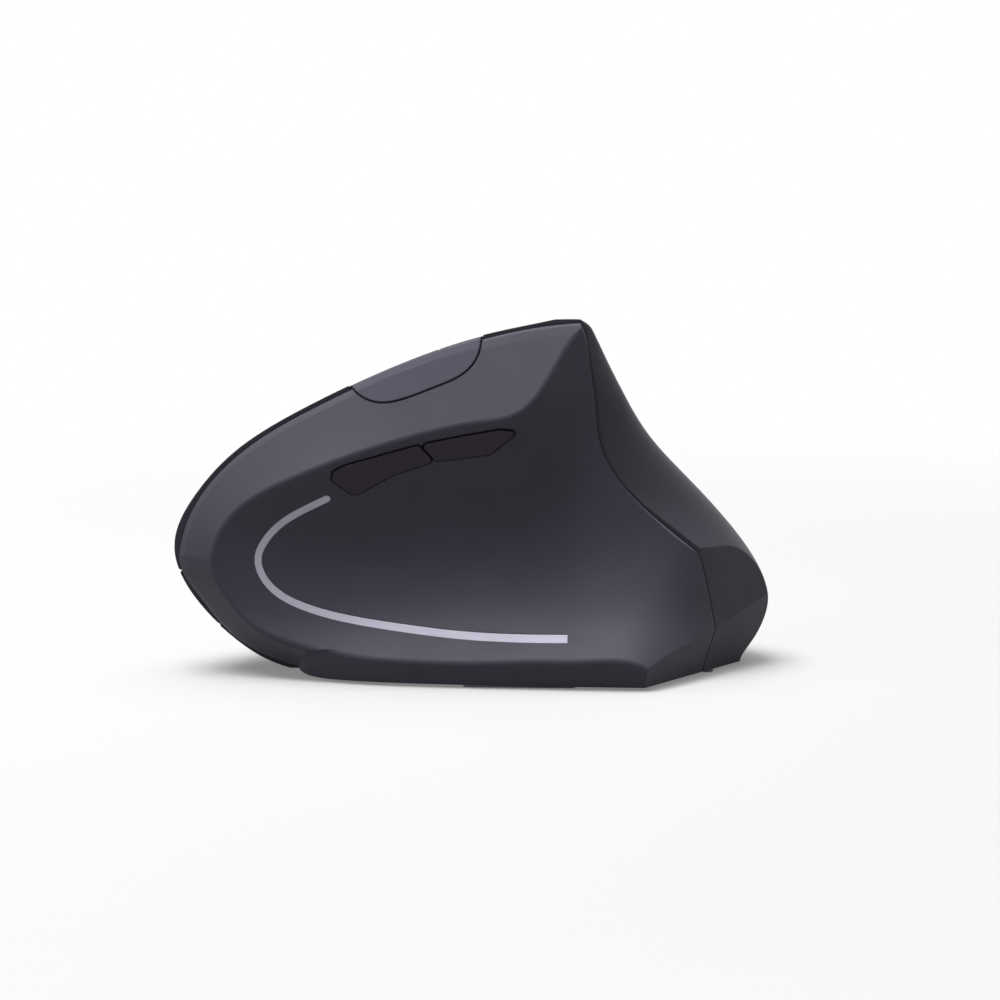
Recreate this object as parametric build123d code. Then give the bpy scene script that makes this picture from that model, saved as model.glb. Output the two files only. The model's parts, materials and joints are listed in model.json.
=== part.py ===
"""Vertical mouse for the right hand.

Millimetres, Z up.  The nose points to -X, the thumb side faces -Y and the finger side faces +Y.
The model is drawn in a working frame: y = 0 is the plane where the two shells meet and z = 0 is the
desk.  Every piece is moved by the same amount when it is written, so that the middle of the bounding
box is over the origin.
"""
import os
from build123d import *

os.makedirs("parts", exist_ok=True)

# driving dimensions
CENTRE = (62.6, 13.1)     # middle of the finished object in the working frame
WALL = 2.4                # shell wall, measured square to the parting plane
WALL_EXTRA = 0.2          # the dish wall is this much thicker
CAVITY_FLOOR = 2.0        # the inner forms are drawn from this height
FOOT_PAD = 0.6            # thickness of the sliding pads under the base
RIM_STEP = 0.5            # the finger shell stands this much over the thumb shell at the crest
CREASE_ROUND = 1.2        # rounding between the band and the thumb dish
BAND_DEPTH = 13.0         # depth of the band's construction, from the parting plane
BASE_THICK = 2.0          # base plate
BASE_INSET = 2.0          # rim of the shells round the base plate
BASE_FIT = 0.2            # clearance of the base plate in the shells
PARTING_GAP = 0.35        # dark seam between the two shells at the crest
SEAM = 0.5                # gap between the click buttons and round them
CREST_GAP = 0.44          # gap between the click buttons and the thumb shell, in the middle
CREST_TURN = 0.26         # the same gap widens towards the nose by this angle
BUTTON_FIT = 0.3          # gap round the small buttons
BUTTON_PROUD = 0.45       # height of the small buttons over the shell
PIN_FIT = 0.05            # radial clearance of a pin that turns
REST_GAP = 0.05           # gap between a button's post and its plunger at rest
WHEEL_R = 12.0
WHEEL_WIDTH = 7.6
WHEEL_GAP = 1.1           # gap beside the wheel in its slot
HUB_R = 9.4
WHEEL_DEPTH = 7.5         # wheel centre under the button surface
AXLE_R = 1.5
PIVOT_R = 1.0             # pin on which the wheel cradle tilts
PIVOT_U = 16.0
PIVOT_W = -10.5
HINGE_R = 0.75            # pins of the click buttons
HINGE_U = 28.5
HINGE_W = -13.0
BUTTON_END = 26.0         # rear edge of the click buttons, along the click plane
BOARD_TOP = -13.0         # component side of the click board, under the button surface
BOARD_THICK = 1.2
MAIN_BOARD_Z = 7.4        # underside of the main board
SMALL_BOARD_TOP = -8.0    # side board and resolution board, under the thumb surface
SMALL_BOARD_THICK = 1.0
FLANGE_TOP = -3.1         # retaining flange of the side buttons
FLANGE_THICK = 0.8
DPI_FLANGE_TOP = -2.7
FLANGE_ROOM = 0.6         # free room round that flange in the click button
TACT_TOP = -4.9           # tops of the small switches' plungers
TACT_BODY_TOP = -5.6
TACT_SIZE = 4.5
PLUNGER_R = 1.1
MICRO_SIZE = (12.8, 5.8, 6.3)
MICRO_TOP = -5.9
CELL_R = 5.2              # AAA cell
CELL_LEN = 44.5
CELL_X = 59.2
CELL_Z = 7.8
CELL_Y = (8.8, 19.6)
TRAY_WALL = 1.1
TRAY_CORNER = 1.5
TRAY_ROOM = 1.5           # room for a contact at each end of the cells
TRAY_FIT = 0.4            # clearance round the cells
DOOR_FIT = 0.2
DOOR_THICK = 1.7
RECEIVER = (18.5, 13.0, 5.5)
RECEIVER_AT = (66.0, -11.0, 0.9)
RECEIVER_FIT = 0.3
SWITCH_TRAVEL = 2.5       # slide of the power switch
LINE_WIDTH = 1.4          # accent strip
LINE_DEEP = 0.8
TAIL_LEAN = 24.0          # lean of the foot's rear wall, degrees
SCREW_R = 0.8
SCREW_HEAD_R = 2.0
SCREW_LEN = 8.0
BOSS_R = 3.0
SMALL_SCREW_R = 0.7
SMALL_HEAD_R = 1.6
STANDOFF_R = 2.1

# finger side, one row per level: z, front x, shoulder, widest point, tail, rear x
LEVELS = [
    (0.6, 26.0, (36.0, 20.0), (68.0, 39.5), (116.8, 14.0), 113.0),
    (5.0, 16.8, (28.0, 21.5), (66.0, 43.0), (119.7, 15.0), 116.0),
    (12.0, 9.0, (22.0, 22.5), (64.0, 44.3), (122.5, 16.0), 118.0),
    (24.0, 2.6, (16.5, 20.5), (63.0, 40.0), (118.0, 15.0), 110.0),
    (36.0, 7.0, (20.0, 16.0), (64.0, 33.5), (108.0, 13.0), 95.0),
    (46.0, 16.6, (28.5, 11.5), (66.0, 26.0), (99.0, 10.0), 88.6),
    (55.0, 31.8, (41.0, 7.5), (70.0, 18.5), (93.5, 7.5), 87.4),
    (63.0, 49.0, (56.0, 4.5), (74.5, 11.0), (89.6, 5.0), 86.3),
    (68.8, 66.6, (71.0, 2.2), (79.5, 5.0), (87.0, 2.5), 85.3),
    (71.4, 78.5, (80.3, 0.7), (82.3, 1.2), (84.3, 0.7), 84.5),
]
# outline of the thumb side on the parting plane, as x, z
RIM_CREST = [(2.6, 24.0), (7.0, 36.0), (16.6, 46.0), (31.8, 55.0), (49.0, 63.0), (66.6, 68.8), (77.5, 70.9)]
RIM_PEAK = (84.5, 71.4)
RIM_REAR = [(85.3, 68.8), (86.3, 63.0), (87.4, 55.0), (88.6, 46.0), (95.0, 36.0), (109.0, 24.0),
            (117.5, 12.0), (116.0, 5.0), (113.0, 0.6)]
RIM_CHIN = [(27.5, 0.6), (21.5, 2.5), (16.2, 5.2), (10.9, 9.8), (7.7, 13.9), (4.6, 18.0)]
# the same band at its full depth, point by point
BAND_TOP = [(20.3, 23.6), (21.6, 28.2), (24.8, 32.8), (31.0, 36.6), (41.0, 40.2), (55.0, 43.8), (71.0, 47.4),
            (86.5, 51.0)]
BAND_REAR = [(86.9, 49.6), (87.4, 47.8), (88.2, 45.0), (90.5, 40.5), (96.5, 33.0), (107.0, 23.0),
             (117.0, 12.5), (116.6, 10.6), (116.0, 9.0)]
BAND_CHIN = [(31.0, 7.0), (27.2, 9.0), (24.0, 11.4), (22.0, 14.3), (20.9, 17.4), (20.4, 20.5)]
# rounding of the crest: depth from the parting plane, extra step
CREST_STEPS = [(0.0, 0.9), (0.45, 0.35), (1.5, 0.0)]
# thumb dish: y of its surface over x (columns) and z (rows)
DISH_X = [-6, 12, 30, 50, 65, 73, 80, 87, 97, 107, 118, 128]
DISH_Y = {
    -6: (-16.0, -15.5, -19.5, -24.5, -26.5, -27.0, -27.3, -27.0, -24.5, -13.5, -1.0, 11.0),
    6: (-8.0, -9.3, -12.2, -14.9, -16.3, -17.2, -17.7, -18.1, -17.4, -7.4, 7.2, 19.0),
    12: (-6.5, -7.0, -8.5, -9.3, -10.5, -10.9, -11.2, -11.5, -11.0, -4.5, 8.6, 20.5),
    18: (-5.7, -6.2, -6.4, -6.0, -6.4, -6.7, -6.8, -7.0, -6.4, -2.6, 9.8, 21.8),
    24: (-5.5, -6.0, -5.2, -4.0, -4.0, -4.1, -4.0, -4.0, -3.4, -1.0, 11.2, 23.2),
    30: (-5.9, -6.4, -5.4, -3.7, -3.1, -2.8, -2.6, -2.3, -1.6, 0.5, 12.5, 24.5),
    36: (-6.5, -7.4, -7.0, -4.7, -3.8, -3.0, -2.2, -1.4, -0.6, 2.0, 13.8, 25.8),
    42: (-7.3, -8.6, -8.8, -6.6, -5.6, -4.5, -2.9, -1.1, 0.6, 3.5, 15.0, 27.0),
    48: (-8.5, -10.0, -10.2, -8.8, -7.9, -6.9, -3.9, -0.9, 1.8, 5.0, 16.2, 28.2),
    54: (-10.0, -11.5, -11.4, -10.4, -10.2, -9.4, -4.9, -0.7, 3.0, 6.4, 17.4, 29.4),
    60: (-11.5, -13.0, -12.6, -11.6, -11.4, -10.2, -4.9, -0.3, 3.8, 7.6, 18.4, 30.4),
    70: (-13.5, -15.0, -14.6, -13.6, -13.2, -11.2, -4.0, 0.3, 4.8, 9.2, 20.0, 32.0),
    80: (-15.5, -17.0, -16.6, -15.6, -14.8, -12.0, -4.0, 0.8, 5.8, 10.6, 21.4, 33.4),
}
# foot wall under the thumb dish on the desk, as x, y, and how far it leans outwards there, ahead and aside
FOOT_WALL = [(28.6, 8.0), (29.0, -4.0), (32.6, -9.4), (38.8, -12.4), (48.0, -14.3), (60.0, -15.6), (80.0, -16.7),
             (106.0, -17.3)]
FOOT_LEAN = [(1.0, 0.0), (0.9, 0.4), (0.6, 0.75), (0.35, 0.9), (0.1, 1.0), (0.0, 1.0), (0.0, 1.0), (0.0, 1.0)]
FOOT_CORNER = (97.7, -17.0)

# seams of the click buttons in the click plane, as u, t
DIVIDE = [(-46.0, -18.0), (-28.5, -6.1), (-20.9, -3.1), (-13.6, -1.3), (0.0, 0.0), (BUTTON_END, 0.0)]
LOWER = [(-46.0, -9.0), (-37.9, -3.6), (-30.0, 1.4), (-22.0, 8.3), (-11.0, 18.6), (4.3, 27.0), (16.5, 30.4),
         (BUTTON_END, 31.4)]
# outlines of the thumb buttons and of the resolution button in their own planes
SIDE_FRONT = [(-18.9, 1.0), (-18.1, 2.6), (-15.6, 3.1), (-0.3, 3.2), (1.5, -1.0), (-6.6, -1.55),
              (-15.0, -3.5), (-16.1, -3.1)]
SIDE_BACK = [(0.2, 3.2), (16.0, 2.3), (18.2, 1.35), (18.7, 0.4), (12.6, -2.6), (2.0, -1.0)]
# the sides of the gap between the thumb buttons, drawn on past their flanges
FRONT_STOP = [(-1.5, 6.0), (4.93, -9.0)]
BACK_STOP = [(-1.0, 6.0), (5.43, -9.0)]
DPI_CURVE = [(-13.3, 4.0), (-11.5, -0.3), (-7.8, -3.1), (-4.5, -3.75), (3.9, -3.6), (8.2, -3.1),
             (11.6, -1.3), (13.8, 1.8), (14.5, 4.6)]
DPI_REACH = 9.0           # the outline runs on over the crest to here
DPI_FLANGE = [(-13.6, 1.6), (-12.8, -0.9), (-8.2, -4.0), (-4.5, -4.7), (3.9, -4.6), (8.4, -4.1),
              (12.6, -2.3), (14.8, 1.0), (14.9, 1.6)]
# accent line on the dish, as x, z
LINE_POINTS = [(34.4, 36.1), (29.0, 33.4), (25.0, 30.8), (21.7, 27.1), (20.5, 24.1), (21.3, 20.6),
               (23.9, 17.5), (29.0, 14.8), (37.2, 12.6), (49.3, 10.9), (59.3, 10.0), (69.2, 9.6), (82.5, 9.6)]
# screws through the base plate, as x, y and the top of the boss over each
SCREWS = [(38.5, -5.0, 11.3), (91.5, -7.0, 13.0), (91.0, 31.5, 26.5), (112.3, 14.0, 26.0), (61.5, 31.0, 9.8)]
STANDOFFS = [(37.3, 2.4), (51.2, -5.2), (37.3, 22.0), (50.9, 22.0)]
BOARD_SCREWS = [(-5.0, -15.0), (-10.2, 12.8), (19.3, -12.5), (15.2, 16.5)]
SIDE_POSTS = [(-14.0, -7.2), (14.0, -7.2)]
DPI_POSTS = [(-10.2, -5.7), (10.2, -5.7)]
# hinges of the click buttons along t, with the height of their lugs in the shell
HINGES = {"left": (-11.0, -7.0, -7.0, -10.0), "right": (6.0, 10.0, -7.8, -11.4)}
MICROS = {"left": (-13.8, -11.0), "right": (6.0, 15.0)}
WHEEL_TACT = (-3.6, -10.0)
TACTS = {"forward": (-8.5, -1.4), "back": (9.0, -1.2)}
DPI_TACT = (0.5, -2.0)

# knob of the power switch, and the sliding pads under the base
SLIDER = (44.1, -5.1)
PADS = [
    [(32.6, -1.0), (36.4, -1.0), (36.4, 10.0), (33.6, 10.0)],
    [(62.0, -15.0), (84.0, -15.0), (84.0, -12.4), (62.0, -12.4)],
    [(66.5, 29.5), (86.0, 29.5), (86.0, 33.5), (67.5, 33.5)],
    [(109.2, 3.0), (111.2, 3.0), (111.8, 9.5), (109.2, 9.5)],
]

# local frames: click buttons, side buttons, resolution button
CLICK = Plane(origin=(34.0, 27.9, 34.0), x_dir=(0.90, 0.22, 0.38), z_dir=(-0.407, 0.745, 0.529))
SIDE = Plane(origin=(54.0, -7.3, 44.3), x_dir=(0.963, 0.0, 0.269), z_dir=(0.06, -0.935, -0.346))
DPI = Plane(origin=(52.0, -2.5, 60.5), x_dir=(0.94, 0.0, 0.34), z_dir=(-0.187, -0.837, 0.516))

BASE_TOP = FOOT_PAD + BASE_THICK
POCKET_TOP = BASE_TOP + 0.6


def solid(shape):
    """The single largest solid of a shape."""
    return max(shape.solids(), key=lambda s: s.volume)


def group(shapes):
    """Separate solids that share a node."""
    return Compound([solid(s) for s in shapes])


def block(x, y, z, plane=Plane.XY):
    """Box between two values on each axis of a plane."""
    centre = Pos((x[0] + x[1]) / 2, (y[0] + y[1]) / 2, (z[0] + z[1]) / 2)
    return plane * centre * Box(x[1] - x[0], y[1] - y[0], z[1] - z[0])


def rod(x, y, z, radius, plane=Plane.XY):
    """Cylinder along the local Z axis of a plane, between two heights."""
    return plane * Pos(x, y, (z[0] + z[1]) / 2) * Cylinder(radius, z[1] - z[0])


def cone(x, y, z, radii, plane=Plane.XY):
    """Cone along the local Z axis of a plane, between two heights."""
    return plane * Pos(x, y, (z[0] + z[1]) / 2) * Cone(radii[0], radii[1], z[1] - z[0])


def cross_rod(x, z, y, radius, plane=Plane.XY):
    """Cylinder along the local Y axis of a plane, between two values of y."""
    return plane * Pos(x, (y[0] + y[1]) / 2, z) * Rot(90, 0, 0) * Cylinder(radius, y[1] - y[0])


def long_rod(y, z, x, radius):
    """Cylinder along X, between two values of x."""
    return Pos((x[0] + x[1]) / 2, y, z) * Rot(0, 90, 0) * Cylinder(radius, x[1] - x[0])


def slab(points, z, plane=Plane.XY):
    """Straight-sided outline pulled between two heights of a plane."""
    outline = make_face(Polyline(*points, points[0]).edges())
    return plane * Pos(0, 0, z[0]) * extrude(outline, z[1] - z[0])


def side_plate(points, y, plane=Plane.XY):
    """Outline in local x and z, pulled between two values of local y."""
    face = Plane.XZ * make_face(Polyline(*points, points[0]).edges())
    return plane * Pos(0, y[1], 0) * extrude(face, y[1] - y[0])


def cross_plate(points, x):
    """Outline in y and z, pulled between two values of x."""
    face = Plane.YZ * make_face(Polyline(*points, points[0]).edges())
    return Pos(x[0], 0, 0) * extrude(face, x[1] - x[0])


def prism(face, w, plane):
    """Face pulled between two heights of a plane."""
    return plane * Pos(0, 0, w[0]) * extrude(face, w[1] - w[0])


def grown(face, amount, step):
    """Outline moved outwards, with every edge redrawn through points about one step apart."""
    curves = []
    for edge in offset(face, amount, kind=Kind.ARC).edges():
        count = max(1, round(edge.length / step))
        points = [edge.position_at(k / count) for k in range(count + 1)]
        curve = Spline(*points) if count > 1 else Line(*points)
        curves.append(curve.edge())
    return make_face(curves)


def cubic(xs, ys, x):
    """Natural cubic spline through the points, read at x."""
    n = len(xs)
    h = [xs[i + 1] - xs[i] for i in range(n - 1)]
    lower = [0.0] * n
    main = [1.0] * n
    upper = [0.0] * n
    right = [0.0] * n
    for i in range(1, n - 1):
        lower[i] = h[i - 1]
        main[i] = 2 * (h[i - 1] + h[i])
        upper[i] = h[i]
        right[i] = 6 * ((ys[i + 1] - ys[i]) / h[i] - (ys[i] - ys[i - 1]) / h[i - 1])
    for i in range(1, n):
        ratio = lower[i] / main[i - 1]
        main[i] -= ratio * upper[i - 1]
        right[i] -= ratio * right[i - 1]
    bend = [0.0] * n
    bend[-1] = right[-1] / main[-1]
    for i in range(n - 2, -1, -1):
        bend[i] = (right[i] - upper[i] * bend[i + 1]) / main[i]
    i = max(0, min(n - 2, sum(1 for k in xs[1:-1] if k <= x)))
    t = x - xs[i]
    u = xs[i + 1] - x
    curve = (bend[i] * u ** 3 + bend[i + 1] * t ** 3) / (6 * h[i])
    return curve + (ys[i] / h[i] - bend[i] * h[i] / 6) * u + (ys[i + 1] / h[i] - bend[i + 1] * h[i] / 6) * t


def dish_y(x, z):
    """Height of the thumb dish over the parting plane."""
    column = [cubic(DISH_X, row, x) for row in DISH_Y.values()]
    return cubic(list(DISH_Y), column, z)


# outer and inner forms
def same(x, z):
    return (x, z)


def inside(x, z):
    """Moves a point of a side outline inwards by about the wall."""
    return (57.0 + (x - 57.0) * 0.953, 30.0 + (z - 30.0) * 0.927)


def finger_form(move=same, drop=0.0, shrink=1.0):
    """Finger side, lofted through level outlines."""
    sections = []
    for z, front, shoulder, widest, tail, rear in LEVELS:
        points = [(front, 0.0), shoulder, widest, tail, (rear, 0.0)]
        level = move(0.0, z)[1]
        moved = [(move(x, z)[0], max(0.0, y * shrink - (drop if y > 0 else 0.0))) for x, y in points]
        curve = Spline(*moved)
        skirt = Polyline(moved[-1], (moved[-1][0], -6.0), (moved[0][0], -6.0), moved[0])
        sections.append(Plane.XY.offset(level) * make_face([curve.edge(), *skirt.edges()]))
    return loft(sections)


def band_outline(depth, step, move):
    """Outline of the band at a depth, between the rim and the full depth."""
    t = depth / BAND_DEPTH
    rim_crest = [(x + step * 0.9, z - step * 0.5) for x, z in RIM_CREST]
    rim_crest.append((RIM_PEAK[0], RIM_PEAK[1] - step * 0.5))
    rim_chin = [(x + step * 0.6, z + step * 0.3) for x, z in RIM_CHIN]

    def between(rim, deep):
        return [move(a + (c - a) * t, b + (d - b) * t) for (a, b), (c, d) in zip(rim, deep)]

    crest = between(rim_crest, BAND_TOP)
    rear = [crest[-1]] + between(RIM_REAR, BAND_REAR)
    chin = between(rim_chin, BAND_CHIN) + [crest[0]]
    curves = [Spline(*crest), Spline(*rear), Line(rear[-1], chin[0]), Spline(*chin)]
    return Plane.XZ.offset(depth) * make_face([c.edge() for c in curves])


def band_form(move=same, step=RIM_STEP):
    """Thumb side before the dish is cut, ruled from the rim to the band's full depth."""
    outlines = [band_outline(depth, step + extra, move) for depth, extra in CREST_STEPS]
    outlines.append(band_outline(BAND_DEPTH, 0.0, move))
    return loft(outlines, ruled=True)


def foot_level(z, out):
    """Outline of the foot at one level, moved outwards by out."""
    wall = [(x - out * ahead, y - out * aside) for (x, y), (ahead, aside) in zip(FOOT_WALL, FOOT_LEAN)]
    closing = Polyline(wall[-1], (126.0, -8.0), (126.0, 18.0), (34.0, 16.0), wall[0])
    return Plane.XY.offset(z) * make_face([Spline(*wall).edge(), *closing.edges()])


def dish_cutter(shift=0.0):
    """Everything on the thumb's side of the dish surface."""
    xs = [-6 + 7 * i for i in range(20)]
    zs = [-6 + 6 * i for i in range(15)]
    points = [[Vector(x, dish_y(x, z) + shift, z) for x in xs] for z in zs]
    face = Face.make_surface_from_array_of_points(points, tol=0.02, smoothing=(1, 1, 1), min_deg=3, max_deg=5)
    return Solid.extrude(face, Vector(0, -70, 0))


def tail_cutter(inset=0.0):
    """Everything behind the rear wall of the foot, which leans outwards."""
    wall = Plane(origin=(FOOT_CORNER[0], FOOT_CORNER[1], 0.0), x_dir=(0.581, 0.813, 0.0),
                 z_dir=(0.813, -0.581, 0.0))
    wall = wall.rotated((TAIL_LEAN, 0, 0))
    return wall * Pos(0, 0, 60 - inset) * Box(240, 240, 120)


def near_side(low):
    return block((-100, 220), (-200, 0), (low, 200))


def far_side(low):
    return block((-100, 220), (0, 200), (low, 200))


def thumb_form(move, shift, low, step, foot_in):
    foot = loft([foot_level(low, -foot_in), foot_level(22.0, 5.0 - foot_in)], ruled=True)
    body = (band_form(move, step) & near_side(low)) + (foot & near_side(low))
    body = body - dish_cutter(shift)
    return solid(body - tail_cutter(shift))


def creases(body):
    """Edges between the band and the dish, and between the dish and the foot."""
    found = []
    for edge in body.edges():
        box = edge.bounding_box()
        along_band = edge.length > 80 and box.min.Y < -5 and box.min.Z > 15
        along_chin = 20 < edge.length < 40 and box.min.Y < -5 and box.max.X < 40
        along_foot = edge.length > 50 and box.min.Y < -15 and box.min.Z > 3
        if along_band or along_chin or along_foot:
            found.append(edge)
    return found


def finger_solid(move, shift, low, drop, shrink):
    body = finger_form(move, drop, shrink) & far_side(low)
    return solid(body - dish_cutter(shift) - tail_cutter(shift))


THUMB_OUT = thumb_form(same, 0.0, FOOT_PAD, RIM_STEP, 0.0)
THUMB_OUT = solid(THUMB_OUT.fillet(CREASE_ROUND, creases(THUMB_OUT)))
THUMB_IN = thumb_form(inside, WALL + WALL_EXTRA, CAVITY_FLOOR, RIM_STEP, WALL - WALL_EXTRA)
FINGER_OUT = finger_solid(same, 0.0, FOOT_PAD, 0.0, 1.0)
FINGER_IN = finger_solid(inside, WALL + WALL_EXTRA, CAVITY_FLOOR, 0.5, 0.955)


def footprint(inset):
    """Outline of the whole body on the desk, moved inwards."""
    near = section(THUMB_OUT, section_by=Plane.XY.offset(FOOT_PAD + 0.02))
    far = section(FINGER_OUT, section_by=Plane.XY.offset(FOOT_PAD + 0.02))
    whole = Pos(0, 0, -FOOT_PAD - 0.02) * (near + far)
    return grown(max(whole.faces(), key=lambda f: f.area), -inset, 6.0)


# cutters shared by several pieces
def click_seam(points, gap):
    """Thin wall square to the click plane, which leaves a gap between two pieces."""
    line = Spline(*points) if len(points) > 2 else Line(*points)
    start = line.tangent_at(0)
    strip = Plane(origin=(*points[0], 0), x_dir=(-start.Y, start.X, 0), z_dir=start) * Rectangle(gap, 70)
    return CLICK * sweep(strip, path=line.edge())


def click_region(points, corners):
    """Prism square to the click plane: a curve closed by straight lines."""
    closing = Polyline(points[-1], *corners, points[0])
    face = make_face([Spline(*points).edge(), *closing.edges()])
    return CLICK * Pos(0, 0, -50) * extrude(face, 75)


def crest_side(gap):
    """Everything on the thumb's side of the click buttons' crest seam."""
    return Pos(45, 0, 40) * Rot(0, 0, -CREST_TURN) * Pos(0, gap - 15, 0) * Box(160, 30, 160)


def rounded(points, grow, radius=0.7):
    """Straight-sided outline with rounded corners, made larger by grow."""
    face = make_face(Polyline(*points, points[0]).edges())
    face = fillet(face.vertices(), radius)
    return offset(face, grow, kind=Kind.ARC) if grow else face


def dpi_outline(grow):
    """Outline of the resolution button, moved outwards by grow."""
    curve = Spline(*DPI_CURVE)
    steps = 12
    points = []
    for k in range(steps + 1):
        at = curve.position_at(k / steps)
        way = curve.tangent_at(k / steps)
        points.append((at.X + grow * way.Y, at.Y - grow * way.X))
    top = Polyline(points[-1], (points[-1][0], DPI_REACH), (points[0][0], DPI_REACH), points[0])
    return make_face([Spline(*points).edge(), *top.edges()])


LEFT_ZONE = click_region(DIVIDE, [(BUTTON_END, -80.0), (-46.0, -80.0)])
LOWER_ZONE = click_region(LOWER, [(BUTTON_END, -80.0), (-60.0, -80.0), (-60.0, -9.0)])
DIVIDE_GAP = click_seam([(-48.0, -19.4), *DIVIDE[1:-1], (BUTTON_END + 2, 0.0)], SEAM)
LOWER_GAP = click_seam(LOWER, SEAM)
REAR_GAP = block((BUTTON_END - SEAM / 2, BUTTON_END + SEAM / 2), (-60, 31.4), (-40, 40), CLICK)
BASE_POCKET = Pos(0, 0, -1) * extrude(footprint(BASE_INSET), 1 + POCKET_TOP)
DPI_NOTCH = prism(dpi_outline(BUTTON_FIT * 2), (-6.0, 8.0), DPI) & block((0, 120), (-20, 0.85), (0, 100))
FLANGE_FACE = make_face(Polyline(*DPI_FLANGE, DPI_FLANGE[0]).edges())
DPI_ROOM = prism(offset(FLANGE_FACE, FLANGE_ROOM, kind=Kind.ARC),
                 (DPI_FLANGE_TOP - FLANGE_THICK - 2 * FLANGE_ROOM, DPI_FLANGE_TOP + FLANGE_ROOM), DPI)


def boss(x, y, top):
    """Screw boss under a shell, with the hole for its screw."""
    return rod(x, y, (BASE_TOP, top), BOSS_R)


def boss_hole(x, y):
    return rod(x, y, (0, FOOT_PAD + SCREW_LEN + 0.4), SCREW_R + PIN_FIT)


def board_post(at, top, plane, radius):
    """Post that grows from a shell down to the face of a small board."""
    return rod(at[0], at[1], (SMALL_BOARD_TOP, top), radius, plane)


def screw(x, y, low, high, plane=Plane.XY):
    """Pan-head screw of the boards: head on top, shank below."""
    return rod(x, y, (low, high), SMALL_SCREW_R, plane) + rod(x, y, (high, high + 0.9), SMALL_HEAD_R, plane)


pieces = {}


# thumb side
def make_thumb_side():
    line = Spline(*LINE_POINTS)
    start = line.tangent_at(0)
    strip = Plane(origin=(*LINE_POINTS[0], 0), x_dir=(-start.Y, start.X, 0), z_dir=start)
    band = sweep(strip * Rectangle(LINE_WIDTH, 60), path=line.edge())
    band = Plane.XZ * (band + Pos(*LINE_POINTS[0], 0) * Cylinder(LINE_WIDTH / 2, 60))
    accent = solid((band & dish_cutter(LINE_DEEP)) & THUMB_OUT)
    shell = THUMB_OUT - THUMB_IN - BASE_POCKET - accent
    for outline in (SIDE_FRONT, SIDE_BACK):
        shell = shell - prism(rounded(outline, BUTTON_FIT), (FLANGE_TOP, 6.0), SIDE)
    shell = solid(shell - prism(dpi_outline(BUTTON_FIT), (-5.5, 8.0), DPI))
    for x, y, top in SCREWS:
        if y < 0:
            shell = shell + boss(x, y, top) - boss_hole(x, y)
    for at in SIDE_POSTS:
        shell = shell + board_post(at, -1.0, SIDE, 2.0)
        shell = shell - rod(*at, (SMALL_BOARD_TOP - 1, SMALL_BOARD_TOP + 4), SMALL_SCREW_R + PIN_FIT, SIDE)
    for at in DPI_POSTS:
        shell = shell + board_post(at, -1.15, DPI, 1.4)
        shell = shell - rod(*at, (SMALL_BOARD_TOP - 1, SMALL_BOARD_TOP + 4), SMALL_SCREW_R + PIN_FIT, DPI)
    pieces["thumb_shell"] = solid(shell)
    pieces["accent_strip"] = accent


# finger side
def make_finger_side():
    skin = FINGER_OUT - FINGER_IN - BASE_POCKET
    palm = skin - (LOWER_ZONE + LEFT_ZONE) - DPI_NOTCH - REAR_GAP
    palm = solid(palm - block((-20, 140), (-1, PARTING_GAP), (-10, 90)))
    buttons = skin - DIVIDE_GAP - crest_side(CREST_GAP) - REAR_GAP - LOWER_GAP
    buttons = buttons - DPI_NOTCH - DPI_ROOM
    slot = WHEEL_WIDTH / 2 + WHEEL_GAP
    buttons = buttons - block((-WHEEL_R - 0.4, WHEEL_R + 0.4), (-slot, slot), (-20, 12), CLICK)
    halves = {"left": solid(buttons & LEFT_ZONE), "right": solid((buttons & LOWER_ZONE) - LEFT_ZONE)}
    pins = []
    for name, (t0, t1, top_front, top_rear) in HINGES.items():
        lug = [(27.2, top_front), (35.0, top_rear), (31.5, -14.2), (30.2, -15.2), (26.9, -15.2),
               (26.9, -11.2), (27.2, -10.6)]
        for low, high in ((t0 - 2.3, t0 - 0.3), (t1 + 0.3, t1 + 2.3)):
            palm = palm + side_plate(lug, (low, high), CLICK)
        palm = palm - cross_rod(HINGE_U, HINGE_W, (t0 - 2.4, t1 + 2.4), HINGE_R, CLICK)
        ear = [(19.5, -5.0), (25.4, -6.6), (25.4, -10.4), (28.5, -10.9), (30.6, -13.0), (28.5, -15.1),
               (26.4, -15.1), (19.5, -8.5)]
        u, t = MICROS[name]
        button = halves[name] + side_plate(ear, (t0, t1), CLICK)
        button = button + block((u - 1.6, u + 1.6), (t - 1.5, t + 1.5), (MICRO_TOP + REST_GAP, -3.3), CLICK)
        button = button - cross_rod(HINGE_U, HINGE_W, (t0 - 1, t1 + 1), HINGE_R + PIN_FIT, CLICK)
        pieces[name + "_click_button"] = solid(button)
        pins.append(cross_rod(HINGE_U, HINGE_W, (t0 - 2.3, t1 + 2.3), HINGE_R, CLICK))
    for x, y, top in SCREWS:
        if y > 0:
            palm = palm + boss(x, y, top) - boss_hole(x, y)
    x, y, top = SCREWS[4]
    web = cross_plate([(y + 2.0, POCKET_TOP), (50, POCKET_TOP), (50, top), (y + 2.0, top)], (x - 1, x + 1))
    palm = palm + (web & FINGER_OUT)
    pieces["palm_shell"] = solid(palm)
    pieces["click_hinge_pins"] = group(pins)


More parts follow.
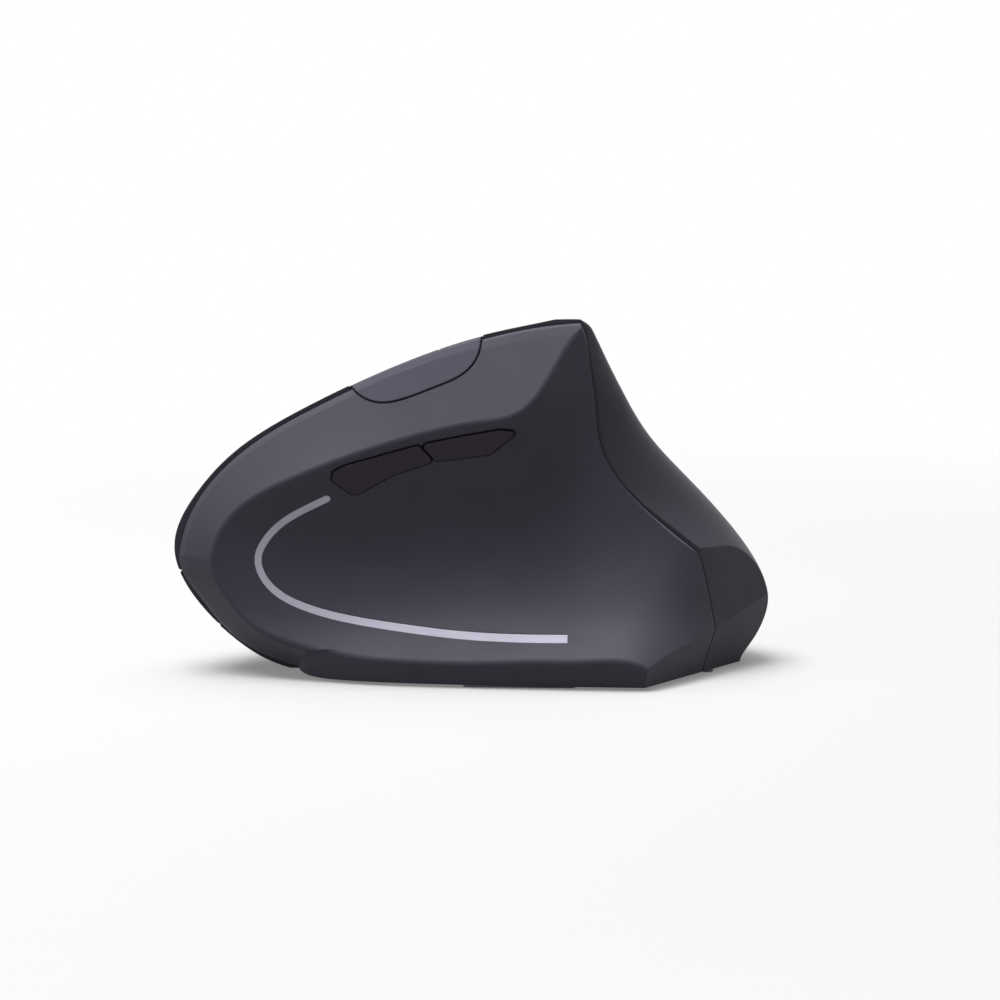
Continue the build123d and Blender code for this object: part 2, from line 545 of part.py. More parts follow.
# thumb buttons and resolution button
def make_small_buttons():
    proud = dish_cutter(-BUTTON_PROUD)
    for name, outline in (("forward_button", SIDE_FRONT), ("back_button", SIDE_BACK)):
        pad = prism(rounded(outline, 0.0), (FLANGE_TOP, 6.0), SIDE) - proud
        flange = prism(rounded(outline, BUTTON_FIT + 0.6), (FLANGE_TOP - FLANGE_THICK, FLANGE_TOP), SIDE)
        flange = flange & SIDE * (Pos(0, 0, -5) * Box(80, 40, 20))
        u, t = TACTS[name.split("_")[0]]
        post = block((u - 1, u + 1), (t - 1, t + 1), (TACT_TOP + REST_GAP, FLANGE_TOP - 0.4), SIDE)
        pieces[name] = solid(pad) + solid(flange) + post
    behind = slab([*FRONT_STOP, (30.0, -9.0), (30.0, 6.0)], (-9, FLANGE_TOP), SIDE)
    ahead = slab([*BACK_STOP, (-30.0, -9.0), (-30.0, 6.0)], (-9, FLANGE_TOP), SIDE)
    pieces["forward_button"] = solid(pieces["forward_button"] - behind)
    pieces["back_button"] = solid(pieces["back_button"] - ahead)
    top = prism(dpi_outline(0.0), (DPI_FLANGE_TOP, 8.0), DPI) & band_form(same, RIM_STEP - 0.8)
    top = solid(top & near_side(0))
    body = top + slab(DPI_FLANGE, (DPI_FLANGE_TOP - FLANGE_THICK, DPI_FLANGE_TOP), DPI)
    u, t = DPI_TACT
    body = body + block((u - 1.5, u + 1.5), (t - 1.2, t + 1.2), (TACT_TOP + REST_GAP, DPI_FLANGE_TOP - 0.4), DPI)
    pieces["dpi_button"] = solid(body)


# scroll wheel and its cradle
def make_wheel():
    tyre = cross_rod(0, -WHEEL_DEPTH, (-WHEEL_WIDTH / 2, WHEEL_WIDTH / 2), WHEEL_R, CLICK)
    hub = cross_rod(0, -WHEEL_DEPTH, (-WHEEL_WIDTH / 2, WHEEL_WIDTH / 2), HUB_R, CLICK)
    grooves = []
    count = 36
    for k in range(count):
        place = CLICK * Pos(0, 0, -WHEEL_DEPTH) * Rot(0, 360 * k / count, 0) * Pos(WHEEL_R, 0, 0)
        grooves.append(place * Box(0.9, WHEEL_WIDTH + 1, 0.8))
    pieces["wheel_tyre"] = solid(tyre - hub - grooves)
    recess = (WHEEL_WIDTH / 2 - 1.6, WHEEL_WIDTH / 2 + 1)
    ring = cross_rod(0, -WHEEL_DEPTH, recess, HUB_R - 1.4, CLICK)
    ring = ring - cross_rod(0, -WHEEL_DEPTH, recess, 3.2, CLICK)
    far_ring = CLICK * Pos(0, -recess[0] - recess[1], 0) * CLICK.to_local_coords(ring)
    hub = hub - ring - far_ring
    pieces["wheel_hub"] = solid(hub - cross_rod(0, -WHEEL_DEPTH, (-9, 9), AXLE_R, CLICK))
    pieces["wheel_axle"] = solid(cross_rod(0, -WHEEL_DEPTH, (-6.2, 10.2), AXLE_R, CLICK))
    arm = [(-4, -10), (-4, -5.2), (6, -5.2), (18, -8.4), (18, -12.2), (14, -12.2), (10, -10)]
    cradle = side_plate(arm, (5.0, 6.2), CLICK) + side_plate(arm, (-6.2, -5.0), CLICK)
    cradle = cradle + block((14, 18), (-6.2, 6.2), (-12.2, -9.6), CLICK)
    u = WHEEL_TACT[0]
    cradle = cradle + block((u - 2.5, u + 2.5), (-12.0, -6.0), (-8.75, -7.5), CLICK)
    cradle = cradle - cross_rod(0, -WHEEL_DEPTH, (-7, 7), AXLE_R + PIN_FIT, CLICK)
    cradle = cradle - cross_rod(PIVOT_U, PIVOT_W, (-7, 7), PIVOT_R + PIN_FIT, CLICK)
    pieces["wheel_cradle"] = solid(cradle)
    coder = block((-5, 5), (6.2, 10.7), (-11.7, -4.2), CLICK)
    pieces["scroll_encoder"] = solid(coder - cross_rod(0, -WHEEL_DEPTH, (6, 10.4), AXLE_R + PIN_FIT, CLICK))
    foot_low = BOARD_TOP
    bracket = block((18.6, 21.5), (-9, 9), (foot_low, -11.4), CLICK)
    for low, high in ((-9.0, -7.2), (7.2, 9.0)):
        bracket = bracket + block((13.8, 21.5), (low, high), (foot_low, -11.4), CLICK)
        bracket = bracket + block((13.8, 18.4), (low, high), (foot_low, -8.6), CLICK)
    bracket = bracket - cross_rod(PIVOT_U, PIVOT_W, (-10, 10), PIVOT_R, CLICK)
    pieces["wheel_bracket"] = solid(bracket)
    pieces["wheel_pivot_pin"] = solid(cross_rod(PIVOT_U, PIVOT_W, (-9, 9), PIVOT_R, CLICK))


# switches: a body on its board and a plunger that travels
def make_switch(name, at, plane, board, body_top, top, size, radius):
    u, t = at
    body = block((u - size[0] / 2, u + size[0] / 2), (t - size[1] / 2, t + size[1] / 2), (board, body_top), plane)
    sink = body_top - 1.2
    body = body - rod(u, t, (sink, body_top + 1), radius + PIN_FIT * 2, plane)
    pieces[name + "_switch"] = solid(body)
    pieces[name + "_plunger"] = solid(rod(u, t, (body_top - 0.6, top), radius, plane))


def make_switches():
    micro_top = BOARD_TOP + MICRO_SIZE[2]
    for name, at in MICROS.items():
        make_switch(name, at, CLICK, BOARD_TOP, micro_top, MICRO_TOP, MICRO_SIZE, 0.9)
    make_switch("wheel", WHEEL_TACT, CLICK, BOARD_TOP, BOARD_TOP + 3.5, -8.8, (6, 6), 1.5)
    for name, at in TACTS.items():
        make_switch(name, at, SIDE, SMALL_BOARD_TOP, TACT_BODY_TOP, TACT_TOP, (TACT_SIZE, TACT_SIZE), PLUNGER_R)
    make_switch("dpi", DPI_TACT, DPI, SMALL_BOARD_TOP, TACT_BODY_TOP, TACT_TOP, (TACT_SIZE, TACT_SIZE),
                PLUNGER_R)


# circuit boards
def make_boards():
    outline = [(-21, -17), (-21, -6), (-12, 4), (-12, 15), (-4, 19), (22, 20), (22, -17)]
    board = slab(outline, (BOARD_TOP - BOARD_THICK, BOARD_TOP), CLICK)
    board = board - block((-12.2, 12.2), (-5.6, 5.6), (-20, 0), CLICK)
    screws = []
    for u, t in BOARD_SCREWS:
        board = board - rod(u, t, (-20, 0), SMALL_SCREW_R + 0.2, CLICK)
        screws.append(screw(u, t, BOARD_TOP - BOARD_THICK - 2.6, BOARD_TOP, CLICK))
    pieces["click_board"] = solid(board)
    low = SMALL_BOARD_TOP - SMALL_BOARD_THICK
    side = block((-18, 18), (-9.5, 0.9), (low, SMALL_BOARD_TOP), SIDE)
    dpi = block((-12.2, 12.2), (-7.3, 0.35), (low, SMALL_BOARD_TOP), DPI)
    for at in SIDE_POSTS:
        side = side - rod(*at, (low - 1, 0), SMALL_SCREW_R + 0.2, SIDE)
        screws.append(SIDE * Rot(180, 0, 0) * screw(at[0], -at[1], -SMALL_BOARD_TOP - 2.6, -low))
    for at in DPI_POSTS:
        dpi = dpi - rod(*at, (low - 1, 0), SMALL_SCREW_R + 0.2, DPI)
        screws.append(DPI * Rot(180, 0, 0) * screw(at[0], -at[1], -SMALL_BOARD_TOP - 2.6, -low))
    pieces["side_board"] = solid(side)
    pieces["dpi_board"] = solid(dpi)
    top = MAIN_BOARD_Z + BOARD_THICK
    outline = [(42.2, -8.2), (53.6, -8.2), (53.6, 24.6), (34.8, 24.6), (34.8, -1.4), (42.2, -1.4)]
    main = slab(outline, (MAIN_BOARD_Z, top))
    main = main - rod(46, 5, (0, 20), 2.5)
    for x, y in STANDOFFS:
        main = main - rod(x, y, (0, 20), SMALL_SCREW_R + 0.2)
        screws.append(screw(x, y, MAIN_BOARD_Z - 2.6, top))
    pieces["main_board"] = solid(main)
    pieces["board_screws"] = group(screws)
    pieces["motion_sensor"] = solid(block((41, 51), (-1, 11), (top, top + 2.5)))
    pieces["main_chip"] = solid(block((37, 43), (13, 19), (top, top + 0.9)))
    lens = block((40, 52), (0, 10), (BASE_TOP, MAIN_BOARD_Z - 1.2)) + rod(46, 5, (0.9, BASE_TOP), 3.0)
    lens = lens + rod(46, 5, (MAIN_BOARD_Z - 1.2, top - 0.1), 2.2)
    pieces["sensor_lens"] = solid(lens)


# bracket that carries the click board
def make_bracket():
    over = block((-80, 80), (-80, 80), (BOARD_TOP - BOARD_THICK, 90), CLICK)
    front = cross_plate([(5.5, 4.4), (13.6, 4.4), (24, 9), (24, 40), (5.5, 40)], (31, 33))
    rear = cross_plate([(11, BASE_TOP), (31.5, BASE_TOP), (34, 7), (34, 60), (11, 60)], (54.2, 56.2))
    rear = rear - cross_plate([(15, 8), (29, 8), (29, 15), (15, 33)], (54, 57))
    foot = block((35, 56.2), (11.2, 13.6), (BASE_TOP, 5.2)) + block((31, 37), (11.2, 13.6), (4.4, 6.6))
    frame = front + rear + foot
    for u, t in BOARD_SCREWS:
        frame = frame + rod(u, t, (-17.5, -13), 1.9, CLICK)
    frame = frame - over - cross_rod(0, -WHEEL_DEPTH, (-5.6, 5.6), WHEEL_R + 1.6, CLICK)
    for u, t in BOARD_SCREWS:
        frame = frame - rod(u, t, (-17.2, -13), SMALL_SCREW_R + PIN_FIT, CLICK)
    pieces["click_bracket"] = solid(frame)


# base plate with the battery tray, the receiver pocket and what sits in them
def make_base():
    plate = Pos(0, 0, FOOT_PAD) * extrude(footprint(BASE_INSET + BASE_FIT), BASE_THICK)
    x0 = CELL_X - TRAY_ROOM
    x1 = CELL_X + CELL_LEN + TRAY_ROOM
    y0 = CELL_Y[0] - CELL_R - TRAY_FIT
    y1 = CELL_Y[1] + CELL_R + TRAY_FIT
    top = CELL_Z + CELL_R + TRAY_FIT
    tray = block((x0 - TRAY_WALL, x1 + TRAY_WALL), (y0 - TRAY_WALL, y1 + TRAY_WALL), (BASE_TOP, top + TRAY_WALL))
    tray = fillet(tray.edges().filter_by(Axis.Z), TRAY_CORNER)
    rx, ry, rz = RECEIVER_AT
    lx, ly, lz = RECEIVER
    fit = RECEIVER_FIT
    pocket = block((rx - fit - 0.8, rx + lx + fit + 0.8), (ry - fit - 0.8, ry + ly + fit + 0.8),
                   (BASE_TOP, rz + lz + fit + 0.7))
    plate = plate + tray + pocket
    for x, y in STANDOFFS:
        plate = plate + rod(x, y, (BASE_TOP, MAIN_BOARD_Z), STANDOFF_R)
        plate = plate - rod(x, y, (MAIN_BOARD_Z - 3, MAIN_BOARD_Z + 1), SMALL_SCREW_R + PIN_FIT)
    plate = plate - block((x0, x1), (y0, y1), (-1, top))
    plate = plate - block((rx - fit, rx + lx + fit), (ry - fit, ry + ly + fit), (-1, rz + lz + fit))
    plate = plate - rod(46, 5, (-1, 4), 3.4)
    sx, sy = SLIDER
    plate = plate - block((sx - 1.7, sx + 1.7 + SWITCH_TRAVEL), (sy - 1.3, sy + 1.3), (-1, 4))
    screws = []
    for x, y, high in SCREWS:
        plate = plate - rod(x, y, (-1, 4), SCREW_R + 0.2)
        plate = plate - cone(x, y, (FOOT_PAD, FOOT_PAD + 1.5), (SCREW_HEAD_R + 0.2, SCREW_R + 0.2))
        head = cone(x, y, (FOOT_PAD + 0.2, FOOT_PAD + 1.4), (SCREW_HEAD_R, SCREW_R))
        head = head - block((x - 1.2, x + 1.2), (y - 0.2, y + 0.2), (0, FOOT_PAD + 0.7))
        screws.append(head + rod(x, y, (FOOT_PAD + 1.3, min(FOOT_PAD + SCREW_LEN, high - 0.8)), SCREW_R))
    pieces["base_plate"] = solid(plate)
    pieces["base_screws"] = group(screws)

    door = block((x0 + DOOR_FIT, x1 - DOOR_FIT), (y0 + DOOR_FIT, y1 - DOOR_FIT), (FOOT_PAD, FOOT_PAD + DOOR_THICK))
    door = door - [block((x0 + 3 + 1.6 * k, x0 + 3.7 + 1.6 * k), (11, 19), (0, FOOT_PAD + 0.4)) for k in range(5)]
    pieces["battery_door"] = solid(door)
    cells = []
    plates = []
    springs = []
    for y, way in zip(CELL_Y, (1, -1)):
        nub = 1.0
        start = CELL_X if way > 0 else CELL_X + nub
        end = start + CELL_LEN - nub
        cell = long_rod(y, CELL_Z, (start, end), CELL_R)
        cell = cell + (long_rod(y, CELL_Z, (end, end + nub), 1.9) if way > 0 else
                       long_rod(y, CELL_Z, (start - nub, start), 1.9))
        cells.append(cell)
        plates.append(block((x0, x0 + 0.4), (y - 4, y + 4), (CELL_Z - 4, CELL_Z + 4)))
        plates.append(block((x1 - 0.4, x1), (y - 4, y + 4), (CELL_Z - 4, CELL_Z + 4)))
        near = Pos((x0 + 0.4 + CELL_X) / 2, y, CELL_Z) * Rot(0, 90, 0) * Cone(3.2, 2.2, CELL_X - x0 - 0.4)
        far_x = CELL_X + CELL_LEN
        far = Pos((x1 - 0.4 + far_x) / 2, y, CELL_Z) * Rot(0, -90, 0) * Cone(3.2, 2.2, x1 - 0.4 - far_x)
        springs.extend([near, far])
    pieces["battery_cells"] = group(cells)
    pieces["battery_contacts"] = group(plates)
    pieces["contact_springs"] = group(springs)

    stick = block((rx, rx + 13.0), (ry + 0.5, ry + ly - 0.5), (rz + 0.5, rz + lz - 0.5))
    cap = fillet(block((rx + 12.0, rx + lx), (ry, ry + ly), (rz, rz + lz)).edges().filter_by(Axis.X), 1.2)
    stick = stick - block((rx - 1, rx + 10), (ry + 1.0, ry + ly - 1.0), (rz + 1.0, rz + 2.6))
    pieces["usb_receiver"] = solid(stick + cap)

    switch = block((42.0, 48.6), (-7.0, -3.2), (3.6, MAIN_BOARD_Z))
    switch = switch - block((sx - 1.5, sx + 1.5 + SWITCH_TRAVEL), (sy - 1.1, sy + 1.1), (3, 5.6))
    pieces["power_switch"] = solid(switch)
    knob = block((sx - 1.3, sx + 1.3), (sy - 0.9, sy + 0.9), (0.9, 5.2))
    pieces["power_slider"] = solid(knob)

    pads = []
    for outline in PADS:
        pads.append(extrude(rounded(outline, 0.0, 0.8), FOOT_PAD))
    pieces["glide_pads"] = group(pads)


make_thumb_side()
make_finger_side()
make_small_buttons()
make_wheel()
make_switches()
make_boards()
make_bracket()
make_base()

for name, piece in pieces.items():
    placed = Pos(-CENTRE[0], -CENTRE[1], 0) * piece
    export_step(placed, f"parts/{name}.step")
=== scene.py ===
"""Looks of the vertical mouse: materials for every CAD piece, studio light, floor and camera."""

import json
import math

import bpy
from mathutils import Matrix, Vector

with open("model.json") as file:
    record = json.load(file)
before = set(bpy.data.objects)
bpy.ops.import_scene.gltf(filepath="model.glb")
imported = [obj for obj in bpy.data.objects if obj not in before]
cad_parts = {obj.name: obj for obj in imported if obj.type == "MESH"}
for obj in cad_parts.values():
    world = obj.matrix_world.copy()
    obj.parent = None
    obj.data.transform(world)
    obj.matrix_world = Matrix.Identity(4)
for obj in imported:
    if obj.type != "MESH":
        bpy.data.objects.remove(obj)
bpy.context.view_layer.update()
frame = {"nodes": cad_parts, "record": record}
NODES = frame["nodes"]
MM = 0.001
WHITE = (1.0, 1.0, 1.0, 1.0)

# the photograph's camera, in the row frame: metres and degrees
LOOK_AT = Vector((-0.0076, -0.0091, 0.036))
CAMERA_TURN = 4.0
CAMERA_RISE = 8.0
CAMERA_DISTANCE = 0.70
CAMERA_CLIP = (0.05, 50.0)
SENSOR = 36.0
# how the photograph shows the point that the camera looks at
PIXELS_PER_MM = 4.97
PHOTO_SIZE = 1000
LOOK_AT_PIXEL = (434.0, 492.5)

# lights: name, place and side in metres, power in watts
SOFTBOXES = [
    ("key", (-0.3, -0.05, 1.25), 0.8, 17.5),
    ("top", (0.1, 0.35, 1.3), 1.2, 7.0),
    ("left", (-1.1, -0.45, 0.35), 0.8, 1.5),
]
WORLD_LIGHT = 0.09         # what the world gives as a light
FLOOR_SIDE = 12.0
FLOOR_BOUNCE = 0.20        # what the floor throws back at the object
FLOOR_SHOWN = 0.58         # what the camera sees of it under the lights
FLOOR_GLOW = 0.20          # added to that, so that it is nearly white outside the shadow
FLOOR_FADE = (0.13, 0.42)  # metres from the object over which the floor turns plain white

# surface detail shared by the plastics, in metres
CLOUD_SIZE = 14 * MM       # slow change of colour
GLOSS_SIZE = 5 * MM        # slow change of gloss
GLOSS_SPREAD = 0.06        # how much the roughness changes to each side
BEVEL_SAMPLES = 6
# the fine patterns of single materials, in metres
LEATHERY_CELLS = (0.35 * MM, 0.003 * MM)
FLAKES = (0.12 * MM, 0.002 * MM)
RUBBER_LUMPS = (1.2 * MM, 0.02 * MM)
DRAWN_LINES = (0.25 * MM, 0.004 * MM)
COPPER_TRACKS = (3.2 * MM, 0.01 * MM)
FILM_RIPPLES = (4 * MM, 0.02 * MM)


def linear(colour):
    """8-bit screen colour to a linear one with alpha."""
    channels = []
    for value in colour:
        part = value / 255
        channels.append(part / 12.92 if part <= 0.04045 else ((part + 0.055) / 1.055) ** 2.4)
    return (*channels, 1.0)


def scaled(colour, factor):
    """Linear colour made lighter or darker."""
    return (*(min(1.0, c * factor) for c in colour[:3]), 1.0)


def grey(value):
    """Linear grey with alpha."""
    return (value, value, value, 1.0)


class Recipe:
    """A node material that is built step by step."""

    def __init__(self, name, roughness=0.5, metallic=0.0, specular=0.5):
        self.material = bpy.data.materials.new(name)
        self.material.use_nodes = True
        self.nodes = self.material.node_tree.nodes
        self.links = self.material.node_tree.links
        self.shader = self.nodes["Principled BSDF"]
        self.set("Roughness", roughness)
        self.set("Metallic", metallic)
        self.set("Specular IOR Level", specular)
        self.place = self.nodes.new("ShaderNodeTexCoord").outputs["Object"]
        self.height = None

    def set(self, socket, value):
        """Plain value on one of the shader's own sockets."""
        self.shader.inputs[socket].default_value = value

    def stretched(self, scale):
        """Object coordinates with another scale on each axis."""
        mapping = self.nodes.new("ShaderNodeMapping")
        mapping.inputs["Scale"].default_value = scale
        self.links.new(self.place, mapping.inputs["Vector"])
        return mapping.outputs["Vector"]

    def noise(self, size, detail=4.0, stretch=None):
        """Noise whose grains are about this size in metres."""
        node = self.nodes.new("ShaderNodeTexNoise")
        node.inputs["Scale"].default_value = 1.0 / size
        node.inputs["Detail"].default_value = detail
        self.links.new(self.stretched(stretch) if stretch else self.place, node.inputs["Vector"])
        return node.outputs["Fac"]

    def cells(self, size, feature="F1"):
        """Cell pattern whose cells are about this size in metres."""
        node = self.nodes.new("ShaderNodeTexVoronoi")
        node.feature = feature
        node.inputs["Scale"].default_value = 1.0 / size
        self.links.new(self.place, node.inputs["Vector"])
        return node.outputs["Distance"]

    def ramp(self, source, low, high, at=(0.3, 0.7)):
        """Colour ramp between two linear colours."""
        node = self.nodes.new("ShaderNodeValToRGB")
        for element, position, colour in zip(node.color_ramp.elements, at, (low, high)):
            element.position = position
            element.color = colour
        self.links.new(source, node.inputs["Fac"])
        return node.outputs["Color"]

    def span(self, source, low, high):
        """A 0 to 1 output mapped to another range."""
        node = self.nodes.new("ShaderNodeMapRange")
        node.inputs["To Min"].default_value = low
        node.inputs["To Max"].default_value = high
        self.links.new(source, node.inputs["Value"])
        return node.outputs["Result"]

    def colour(self, output):
        self.links.new(output, self.shader.inputs["Base Color"])

    def rough(self, output):
        self.links.new(output, self.shader.inputs["Roughness"])

    def shape(self, output):
        """Normals that the next layer of bump builds on."""
        self.height = output
        self.links.new(output, self.shader.inputs["Normal"])

    def bump(self, source, depth):
        """Adds a layer of bump of this depth in metres over the ones before it."""
        node = self.nodes.new("ShaderNodeBump")
        node.inputs["Distance"].default_value = depth
        node.inputs["Strength"].default_value = 1.0
        self.links.new(source, node.inputs["Height"])
        if self.height:
            self.links.new(self.height, node.inputs["Normal"])
        self.shape(node.outputs["Normal"])

    def soft_edges(self, radius):
        """Rounds the look of sharp edges, so they catch the light as moulded ones do."""
        node = self.nodes.new("ShaderNodeBevel")
        node.samples = BEVEL_SAMPLES
        node.inputs["Radius"].default_value = radius
        self.shape(node.outputs["Normal"])


def moulded(name, colour, roughness, grain=0.16, depth=0.012, mottle=0.06, specular=0.5, edge=0.2):
    """Moulded or painted plastic: grain, its depth and the edge radius are in millimetres."""
    recipe = Recipe(name, roughness, specular=specular)
    base = linear(colour)
    recipe.soft_edges(edge * MM)
    cloud = recipe.noise(CLOUD_SIZE, detail=3.0)
    recipe.colour(recipe.ramp(cloud, scaled(base, 1 - mottle), scaled(base, 1 + mottle)))
    gloss = recipe.noise(GLOSS_SIZE, detail=5.0)
    recipe.rough(recipe.span(gloss, roughness - GLOSS_SPREAD, roughness + GLOSS_SPREAD))
    recipe.bump(recipe.noise(grain * MM, detail=2.0), depth * MM)
    return recipe


def soft_touch(name, colour):
    """Soft-touch paint: a very fine leathery grain and a faint sheen."""
    recipe = moulded(name, colour, 0.55, grain=0.11, depth=0.006, mottle=0.05, specular=0.22, edge=0.3)
    recipe.set("Sheen Weight", 0.06)
    recipe.set("Sheen Roughness", 0.45)
    size, depth = LEATHERY_CELLS
    recipe.bump(recipe.cells(size), depth)
    return recipe


def silver_paint(name, colour):
    """Pale paint with fine metal flakes, which picks up the desk all the way round the dish."""
    recipe = moulded(name, colour, 0.75, depth=0.004, mottle=0.03, edge=0.1)
    recipe.set("Metallic", 0.35)
    size, depth = FLAKES
    recipe.bump(recipe.cells(size), depth)
    return recipe


def rubber(name, colour):
    """Moulded rubber, a little lumpy."""
    recipe = moulded(name, colour, 0.72, grain=0.2, depth=0.03, mottle=0.12, specular=0.3, edge=0.15)
    size, depth = RUBBER_LUMPS
    recipe.bump(recipe.noise(size), depth)
    return recipe


def metal(name, colour, roughness):
    """Drawn and plated steel with fine lines along X."""
    recipe = Recipe(name, roughness, metallic=1.0)
    base = linear(colour)
    size, depth = DRAWN_LINES
    lines = recipe.noise(size, detail=3.0, stretch=(0.08, 1.0, 1.0))
    recipe.colour(recipe.ramp(lines, scaled(base, 0.82), scaled(base, 1.1)))
    recipe.rough(recipe.span(lines, roughness - 0.08, roughness + 0.12))
    recipe.bump(lines, depth)
    return recipe


def board(name, colour):
    """Solder mask over copper: tracks show as slightly lighter lines."""
    recipe = Recipe(name, 0.35)
    base = linear(colour)
    size, depth = COPPER_TRACKS
    tracks = recipe.cells(size, "DISTANCE_TO_EDGE")
    recipe.colour(recipe.ramp(tracks, scaled(base, 1.7), base, at=(0.06, 0.10)))
    recipe.rough(recipe.span(recipe.noise(2 * MM), 0.28, 0.45))
    recipe.bump(tracks, depth)
    return recipe


def lens(name):
    """Clear moulded plastic."""
    recipe = Recipe(name, 0.05)
    recipe.set("Base Color", (0.86, 0.88, 0.9, 1.0))
    recipe.set("Transmission Weight", 0.9)
    recipe.rough(recipe.span(recipe.noise(3 * MM), 0.03, 0.1))
    return recipe


def cell_jacket(name, colour):
    """Shrink film round a cell, with slight ripples."""
    recipe = moulded(name, colour, 0.28, grain=0.6, depth=0.004, mottle=0.1)
    size, depth = FILM_RIPPLES
    recipe.bump(recipe.noise(size, detail=2.0, stretch=(0.3, 1.0, 1.0)), depth)
    return recipe


MATERIALS = {
    "soft_charcoal": soft_touch("soft_charcoal", (76, 74, 87)),
    "dark_shell": soft_touch("dark_shell", (63, 61, 71)),
    "accent_grey": silver_paint("accent_grey", (196, 195, 210)),
    "button_black": moulded("button_black", (58, 50, 62), 0.45, depth=0.005, mottle=0.05, specular=0.2),
    "dpi_grey": soft_touch("dpi_grey", (80, 78, 93)),
    "wheel_rubber": rubber("wheel_rubber", (38, 37, 40)),
    "wheel_plastic": moulded("wheel_plastic", (52, 51, 56), 0.42),
    "steel": metal("steel", (196, 198, 202), 0.3),
    "inner_plastic": moulded("inner_plastic", (44, 44, 48), 0.5),
    "encoder_green": moulded("encoder_green", (46, 120, 84), 0.45),
    "switch_black": moulded("switch_black", (30, 30, 32), 0.4, grain=0.3),
    "plunger_white": moulded("plunger_white", (214, 210, 200), 0.4, grain=0.3),
    "board_green": board("board_green", (22, 86, 50)),
    "clear_lens": lens("clear_lens"),
    "base_black": moulded("base_black", (40, 39, 43), 0.55, grain=0.22, depth=0.02, mottle=0.07),
    "cell_jacket": cell_jacket("cell_jacket", (120, 126, 138)),
    "receiver_black": moulded("receiver_black", (34, 34, 38), 0.45),
    "slider_grey": moulded("slider_grey", (176, 178, 184), 0.45),
    "pad_white": moulded("pad_white", (196, 198, 204), 0.3, grain=0.4, depth=0.006, mottle=0.04),
}


def dress_nodes():
    """Gives every CAD node the material of its slot."""
    for entry in frame["record"]["subparts"]:
        mesh = NODES[entry["node"]].data
        mesh.materials.clear()
        mesh.materials.append(MATERIALS[entry["material_slot"]].material)


def either(tree, first, second):
    """The larger of two outputs."""
    node = tree.nodes.new("ShaderNodeMath")
    node.operation = "MAXIMUM"
    tree.links.new(first, node.inputs[0])
    tree.links.new(second, node.inputs[1])
    return node.outputs["Value"]


def mixed(tree, factor, first, second):
    """Mix of two shaders by a factor output."""
    node = tree.nodes.new("ShaderNodeMixShader")
    tree.links.new(factor, node.inputs["Fac"])
    tree.links.new(first, node.inputs[1])
    tree.links.new(second, node.inputs[2])
    return node.outputs["Shader"]


def shown_mix(tree, plain, shown):
    """Shows one shader to the camera and in reflections, and the other to everything else."""
    path = tree.nodes.new("ShaderNodeLightPath")
    seen = either(tree, path.outputs["Is Camera Ray"], path.outputs["Is Glossy Ray"])
    seen = either(tree, seen, path.outputs["Is Transmission Ray"])
    return mixed(tree, seen, plain, shown)


def coloured(tree, kind, colour, strength=None):
    """Shader node of one colour, with its strength if it has one."""
    node = tree.nodes.new(kind)
    node.inputs["Color"].default_value = colour
    if strength is not None:
        node.inputs["Strength"].default_value = strength
    return node.outputs[0]


def distance_fade(tree):
    """Output that goes from 0 near the object to 1 far away on the floor."""
    place = tree.nodes.new("ShaderNodeTexCoord")
    distance = tree.nodes.new("ShaderNodeVectorMath")
    distance.operation = "LENGTH"
    tree.links.new(place.outputs["Object"], distance.inputs[0])
    fade = tree.nodes.new("ShaderNodeMapRange")
    fade.interpolation_type = "SMOOTHSTEP"
    fade.inputs["From Min"].default_value = FLOOR_FADE[0]
    fade.inputs["From Max"].default_value = FLOOR_FADE[1]
    tree.links.new(distance.outputs["Value"], fade.inputs["Value"])
    return fade.outputs["Result"]


def floor_material():
    """Nearly white under the lights, with the object's shadow, and plain white farther off."""
    material = bpy.data.materials.new("floor_white")
    material.use_nodes = True
    tree = material.node_tree
    tree.nodes.clear()
    bounce = coloured(tree, "ShaderNodeBsdfDiffuse", grey(FLOOR_BOUNCE))
    near = tree.nodes.new("ShaderNodeAddShader")
    tree.links.new(coloured(tree, "ShaderNodeBsdfDiffuse", grey(FLOOR_SHOWN)), near.inputs[0])
    tree.links.new(coloured(tree, "ShaderNodeEmission", WHITE, FLOOR_GLOW), near.inputs[1])
    far = coloured(tree, "ShaderNodeEmission", WHITE, 1.0)
    shown = mixed(tree, distance_fade(tree), near.outputs[0], far)
    end = tree.nodes.new("ShaderNodeOutputMaterial")
    tree.links.new(shown_mix(tree, bounce, shown), end.inputs["Surface"])
    return material


def make_floor():
    """Large pale floor that keeps a soft shadow."""
    bpy.ops.mesh.primitive_plane_add(size=FLOOR_SIDE, location=(0, 0, 0))
    floor = bpy.context.object
    floor.name = "floor"
    floor.data.materials.append(floor_material())


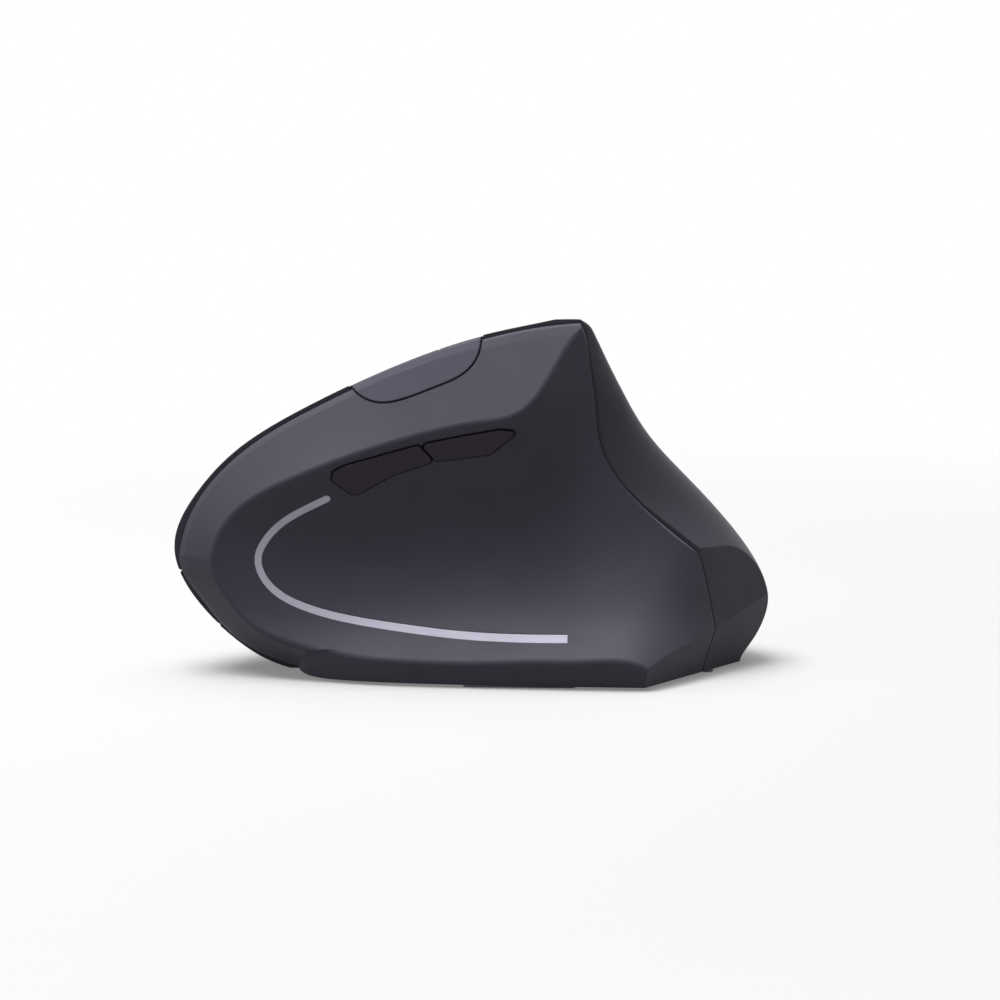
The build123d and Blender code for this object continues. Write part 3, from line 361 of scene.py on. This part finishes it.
def make_world():
    """White to the camera and in reflections, weaker as a light."""
    world = bpy.data.worlds.new("studio")
    bpy.context.scene.world = world
    world.use_nodes = True
    tree = world.node_tree
    tree.nodes.clear()
    soft = coloured(tree, "ShaderNodeBackground", WHITE, WORLD_LIGHT)
    white = coloured(tree, "ShaderNodeBackground", WHITE, 1.0)
    end = tree.nodes.new("ShaderNodeOutputWorld")
    tree.links.new(shown_mix(tree, soft, white), end.inputs["Surface"])


def face(thing, place, target):
    """Puts a lamp or a camera at a place and turns it to a target."""
    thing.location = place
    thing.rotation_mode = "QUATERNION"
    thing.rotation_quaternion = (target - Vector(place)).to_track_quat("-Z", "Y")


def make_lights():
    """Square area lights that face the object."""
    for name, place, side, power in SOFTBOXES:
        light = bpy.data.lights.new(name, "AREA")
        light.shape = "SQUARE"
        light.size = side
        light.energy = power
        lamp = bpy.data.objects.new(name, light)
        bpy.context.scene.collection.objects.link(lamp)
        face(lamp, place, LOOK_AT)


def make_camera():
    """Camera of the photograph: a long lens, a little over the desk."""
    turn = math.radians(CAMERA_TURN)
    rise = math.radians(CAMERA_RISE)
    back = Vector((math.sin(turn) * math.cos(rise), -math.cos(turn) * math.cos(rise), math.sin(rise)))
    right = Vector((math.cos(turn), math.sin(turn), 0))
    up = back.cross(right)
    across = (PHOTO_SIZE / 2 - LOOK_AT_PIXEL[0]) / PIXELS_PER_MM * MM
    down = (PHOTO_SIZE / 2 - LOOK_AT_PIXEL[1]) / PIXELS_PER_MM * MM
    data = bpy.data.cameras.new("camera")
    data.sensor_width = SENSOR
    data.lens = PIXELS_PER_MM / MM * CAMERA_DISTANCE / PHOTO_SIZE * SENSOR
    data.clip_start, data.clip_end = CAMERA_CLIP
    camera = bpy.data.objects.new("camera", data)
    bpy.context.scene.collection.objects.link(camera)
    face(camera, LOOK_AT + back * CAMERA_DISTANCE, LOOK_AT + right * across - up * down)
    bpy.context.scene.camera = camera


dress_nodes()
make_floor()
make_world()
make_lights()
make_camera()
bpy.context.scene.view_settings.view_transform = "Standard"
